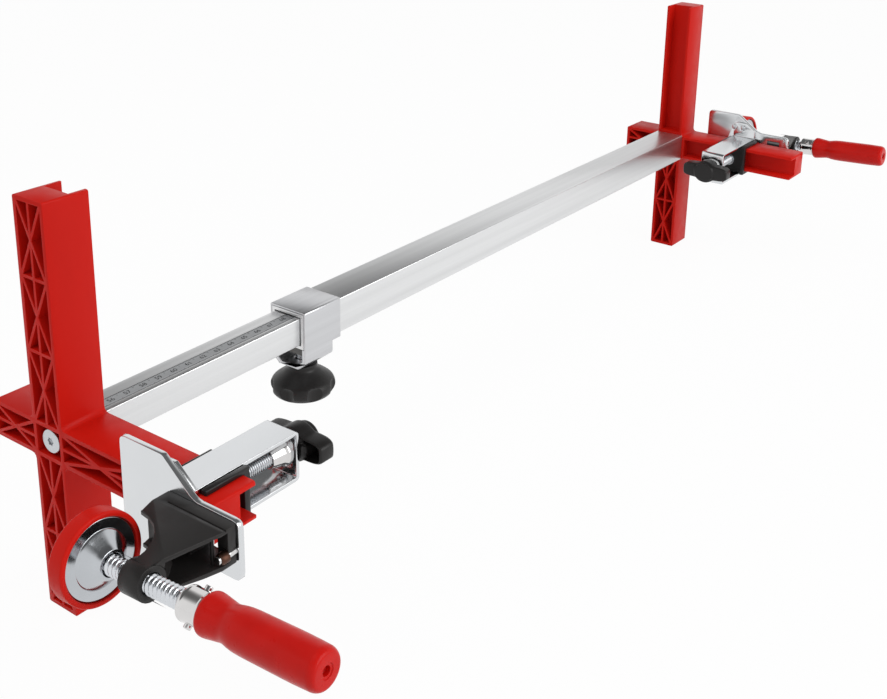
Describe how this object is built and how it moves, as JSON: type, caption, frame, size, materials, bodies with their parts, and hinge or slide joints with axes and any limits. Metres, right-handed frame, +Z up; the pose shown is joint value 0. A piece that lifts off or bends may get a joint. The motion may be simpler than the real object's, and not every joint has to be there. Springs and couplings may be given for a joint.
{
  "type": "telescopic screw clamp",
  "caption": "Telescopic bar clamp with a ribbed cross at each end and sliding screw clamps on the long arms, for holding a door lining square.",
  "frame": {"origin": "centre of the near column's foot", "axes": "+X along the bar from the near to the far cross, +Z up the columns, -Y along the long arms"},
  "size_m": [0.791, 0.2543, 0.213],
  "materials": {
    "red_moulding": "satin moulded polyamide",
    "red_cap": "satin moulded cap",
    "red_handle": "semi-gloss lacquered handle",
    "black_moulding": "satin black moulding",
    "grey_nylon": "plain nylon",
    "aluminium": "natural anodised extrusion",
    "zinc_steel": "bright zinc plating",
    "chromed_steel": "bright chrome",
    "browned_steel": "browned steel",
    "scale_print": "printed scale"
  },
  "bodies": {
    "near_frame": {"near_cross": "red_moulding", "near_cross_screw": "zinc_steel", "inner_profile": "aluminium", "scale_strip": "scale_print", "profile_end_plug": "grey_nylon"},
    "far_frame": {"far_cross": "red_moulding", "far_cross_screw": "zinc_steel", "outer_tube": "aluminium", "tube_insert": "grey_nylon", "collar": "aluminium"},
    "clamp_shoe": {"clamp_shoe": "grey_nylon"},
    "clamp_knob": {"clamp_stud": "zinc_steel", "clamp_knob": "black_moulding"},
    "near_slider": {"near_plate": "zinc_steel", "near_bracket": "zinc_steel", "near_rivet_1": "zinc_steel", "near_rivet_2": "zinc_steel", "near_rivet_3": "zinc_steel", "near_rivet_4": "zinc_steel", "near_liner": "black_moulding", "near_bush": "chromed_steel", "near_screw_arm": "black_moulding", "near_arm_stud": "chromed_steel", "near_arm_nut": "browned_steel"},
    "near_thrust_pad": {"near_thrust_pad": "zinc_steel"},
    "near_lock_screw": {"near_lock_screw": "zinc_steel", "near_wing_knob": "black_moulding"},
    "near_pad_carrier": {"near_pad_retainer": "zinc_steel"},
    "near_spindle": {"near_spindle": "chromed_steel", "near_ferrule": "chromed_steel", "near_cross_pin": "chromed_steel", "near_handle": "red_handle"},
    "near_pad": {"near_pressure_plate": "chromed_steel", "near_pad_cap": "red_cap"},
    "far_slider": {"far_plate": "zinc_steel", "far_bracket": "zinc_steel", "far_rivet_1": "zinc_steel", "far_rivet_2": "zinc_steel", "far_rivet_3": "zinc_steel", "far_rivet_4": "zinc_steel", "far_liner": "black_moulding", "far_bush": "chromed_steel", "far_screw_arm": "black_moulding", "far_arm_stud": "chromed_steel", "far_arm_nut": "browned_steel"},
    "far_thrust_pad": {"far_thrust_pad": "zinc_steel"},
    "far_lock_screw": {"far_lock_screw": "zinc_steel", "far_wing_knob": "black_moulding"},
    "far_pad_carrier": {"far_pad_retainer": "zinc_steel"},
    "far_spindle": {"far_spindle": "chromed_steel", "far_ferrule": "chromed_steel", "far_cross_pin": "chromed_steel", "far_handle": "red_handle"},
    "far_pad": {"far_pressure_plate": "chromed_steel", "far_pad_cap": "red_cap"}
  },
  "joints": [
    {"name": "bar_extension", "type": "slide", "parent": "near_frame", "child": "far_frame", "axis": [1, 0, 0], "range_m": [-0.125, 0.255]},
    {"name": "clamp_knob_turn", "type": "hinge", "parent": "clamp_shoe", "child": "clamp_knob", "pos_m": [0.16085, 0, 0.092], "axis": [0, 0, 1], "range_deg": [-440, 150]},
    {"name": "clamp_shoe_feed", "type": "slide", "parent": "far_frame", "child": "clamp_shoe", "axis": [0, 0, 1], "range_m": [-0.0015, 0.0005]},
    {"name": "near_slider_travel", "type": "slide", "parent": "near_frame", "child": "near_slider", "axis": [0, -1, 0], "range_m": [-0.05, 0.007]},
    {"name": "near_lock_feed", "type": "slide", "parent": "near_slider", "child": "near_thrust_pad", "axis": [1, 0, 0], "range_m": [0, 0.0208]},
    {"name": "near_lock_turn", "type": "hinge", "parent": "near_thrust_pad", "child": "near_lock_screw", "pos_m": [-0.0124, -0.0907, 0.092], "axis": [1, 0, 0], "range_deg": [-10, 6000]},
    {"name": "near_spindle_feed", "type": "slide", "parent": "near_slider", "child": "near_pad_carrier", "axis": [0, 0.9983, -0.0576], "range_m": [-0.005, 0.0204]},
    {"name": "near_spindle_turn", "type": "hinge", "parent": "near_pad_carrier", "child": "near_spindle", "pos_m": [-0.0554, -0.0907, 0.09155], "axis": [0, 0.9983, -0.0576], "range_deg": [-760, 3070]},
    {"name": "near_pad_tilt", "type": "hinge", "parent": "near_pad_carrier", "child": "near_pad", "pos_m": [-0.0554, -0.092, 0.09162], "axis": [1, 0, 0], "range_deg": [-5, 5]},
    {"name": "far_slider_travel", "type": "slide", "parent": "far_frame", "child": "far_slider", "axis": [0, -1, 0], "range_m": [-0.0175, 0.0395]},
    {"name": "far_lock_feed", "type": "slide", "parent": "far_slider", "child": "far_thrust_pad", "axis": [-1, 0, 0], "range_m": [0, 0.0208]},
    {"name": "far_lock_turn", "type": "hinge", "parent": "far_thrust_pad", "child": "far_lock_screw", "pos_m": [0.6526, -0.0582, 0.092], "axis": [-1, 0, 0], "range_deg": [-10, 6000]},
    {"name": "far_spindle_feed", "type": "slide", "parent": "far_slider", "child": "far_pad_carrier", "axis": [0, 0.9983, -0.0576], "range_m": [-0.0207, 0.0047]},
    {"name": "far_spindle_turn", "type": "hinge", "parent": "far_pad_carrier", "child": "far_spindle", "pos_m": [0.6956, -0.04253, 0.09065], "axis": [0, 0.9983, -0.0576], "range_deg": [-3115, 715]},
    {"name": "far_pad_tilt", "type": "hinge", "parent": "far_pad_carrier", "child": "far_pad", "pos_m": [0.6956, -0.04382, 0.09072], "axis": [1, 0, 0], "range_deg": [-5, 5]}
  ],
  "couplings": [
    {"joint": "clamp_knob_turn", "follows": "clamp_shoe_feed", "rad_per_m": 5026.5},
    {"joint": "near_lock_turn", "follows": "near_lock_feed", "rad_per_m": 5026.5},
    {"joint": "near_spindle_turn", "follows": "near_spindle_feed", "rad_per_m": 2618},
    {"joint": "far_lock_turn", "follows": "far_lock_feed", "rad_per_m": 5026.5},
    {"joint": "far_spindle_turn", "follows": "far_spindle_feed", "rad_per_m": 2618}
  ]
}
